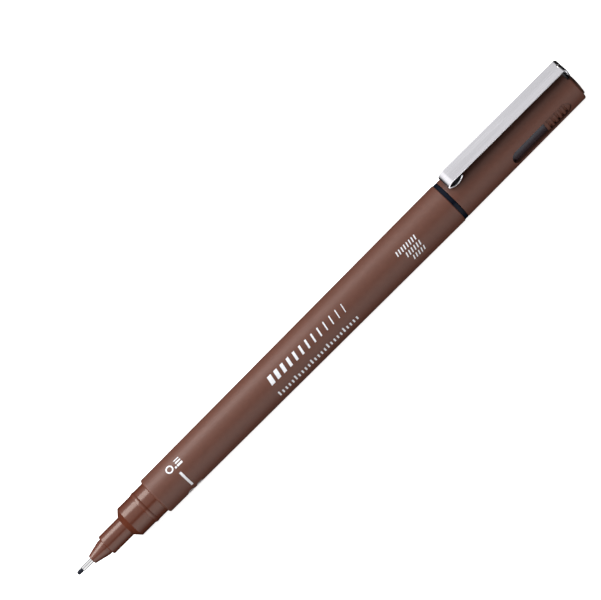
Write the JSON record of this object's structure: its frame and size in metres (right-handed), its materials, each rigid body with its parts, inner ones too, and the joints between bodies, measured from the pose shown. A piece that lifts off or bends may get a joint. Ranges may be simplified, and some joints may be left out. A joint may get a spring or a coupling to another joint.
{
  "type": "technical pen",
  "caption": "Slim capped fine-line technical pen with a fibre nib in a steel sleeve, its clip cap pushed onto the rear plug, for drafting and lettering.",
  "frame": {"origin": "front end of the nib, on the pen's axis", "axes": "+X along the pen from the nib to the rear end, +Z from the axis towards the cap's clip, +Y completes the right-handed frame"},
  "size_m": [0.1561, 0.0106, 0.0131],
  "materials": {
    "matte_brown": "fine matte moulded plastic",
    "gloss_brown": "smooth semi-gloss moulded plastic",
    "crown_brown": "fine matte moulded plastic with ribbed pads",
    "bright_steel": "polished thin-wall tube",
    "brushed_steel": "brushed along the strip",
    "black_fibre": "dense ink-black fibre",
    "ink_fibre": "ink-soaked fibre rod",
    "clear_film": "thin clear film",
    "clear_plastic": "clear moulded plastic",
    "gloss_black": "glossy black moulded plastic"
  },
  "bodies": {
    "pen": {"barrel": "matte_brown", "front_section": "gloss_brown", "tip_holder": "gloss_brown", "nib_sleeve": "bright_steel", "nib": "black_fibre", "ink_reservoir": "ink_fibre", "reservoir_film": "clear_film", "rear_plug": "gloss_black"},
    "cap_liner": {"inner_cap": "clear_plastic"},
    "cap": {"cap_shell": "matte_brown", "cap_crown": "crown_brown", "clip_root": "brushed_steel"},
    "clip": {"clip_arm": "brushed_steel"}
  },
  "joints": [
    {"name": "cap_pull", "type": "slide", "parent": "pen", "child": "cap_liner", "axis": [1, 0, 0], "range_m": [0, 0.03]},
    {"name": "cap_turn", "type": "hinge", "parent": "cap_liner", "child": "cap", "pos_m": [0.135, 0, 0], "axis": [1, 0, 0], "continuous": true},
    {"name": "clip_flex", "type": "hinge", "parent": "cap", "child": "clip", "pos_m": [0.15435, 0, 0.00735], "axis": [0, 1, 0], "range_deg": [0, 5], "stiffness_Nm_per_rad": 0.4}
  ]
}
